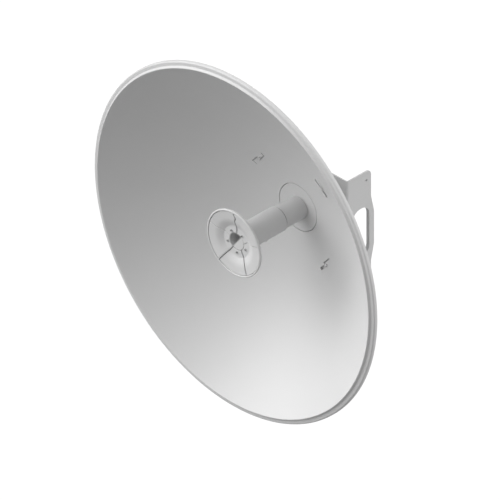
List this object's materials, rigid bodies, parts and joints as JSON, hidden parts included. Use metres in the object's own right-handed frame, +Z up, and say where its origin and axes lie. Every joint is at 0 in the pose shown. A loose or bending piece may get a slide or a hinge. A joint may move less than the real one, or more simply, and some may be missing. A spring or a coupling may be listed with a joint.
{
  "type": "dish antenna",
  "caption": "Round parabolic dish antenna with a tube feed, a small splash plate in front and a folded steel pole mount behind.",
  "frame": {"origin": "middle of the pole bracket's flat rear face, where the pole clamp is bolted on", "axes": "+Z up, the dish faces -Y, +X to the right as seen from in front of the dish"},
  "size_m": [0.65, 0.2267, 0.65],
  "materials": {
    "dish_paint": "pale grey satin powder coat",
    "hub_paint": "pale grey satin",
    "feed_plastic": "light grey, fine moulded grain",
    "splash_plastic": "pale grey, satin",
    "bore_plastic": "mid grey, matt",
    "seal": "matt",
    "frame_paint": "light grey powder coat",
    "mount_steel": "galvanised",
    "cast": "cast, satin",
    "housing_plastic": "grey, fine grain",
    "steel": "zinc plated",
    "brass": "plated, bright"
  },
  "bodies": {
    "root": {"reflector": "dish_paint", "hub_flange": "hub_paint", "feed_sleeve": "feed_plastic", "feed_joint_ring": "seal", "feed_tube": "feed_plastic", "splash_body": "splash_plastic", "splash_rim": "splash_plastic", "splash_segment_1": "splash_plastic", "splash_segment_2": "splash_plastic", "splash_segment_3": "splash_plastic", "splash_segment_4": "splash_plastic", "splash_segment_5": "splash_plastic", "splash_screw_1": "steel", "splash_screw_2": "steel", "splash_screw_3": "steel", "splash_screw_4": "steel", "splash_screw_5": "steel", "bore_liner": "bore_plastic", "bore_ledge": "splash_plastic", "bore_septum": "splash_plastic", "frame_web": "frame_paint", "frame_wing_left": "frame_paint", "frame_wing_right": "frame_paint", "frame_hook_1": "frame_paint", "frame_hook_2": "frame_paint", "frame_hook_3": "frame_paint", "frame_hook_4": "frame_paint", "cross_channel_upper": "mount_steel", "cross_channel_lower": "mount_steel", "tilt_cheek_left": "mount_steel", "tilt_cheek_right": "mount_steel", "pole_bracket": "mount_steel", "pivot_bolt_left": "steel", "pivot_bolt_right": "steel", "lock_bolt_left": "steel", "lock_bolt_right": "steel", "pivot_nut_left": "steel", "pivot_nut_right": "steel", "lock_nut_left": "steel", "lock_nut_right": "steel", "hub_clamp_ring": "cast", "feed_housing": "housing_plastic", "rf_connector_left": "brass", "rf_connector_right": "brass"}
  },
  "joints": []
}
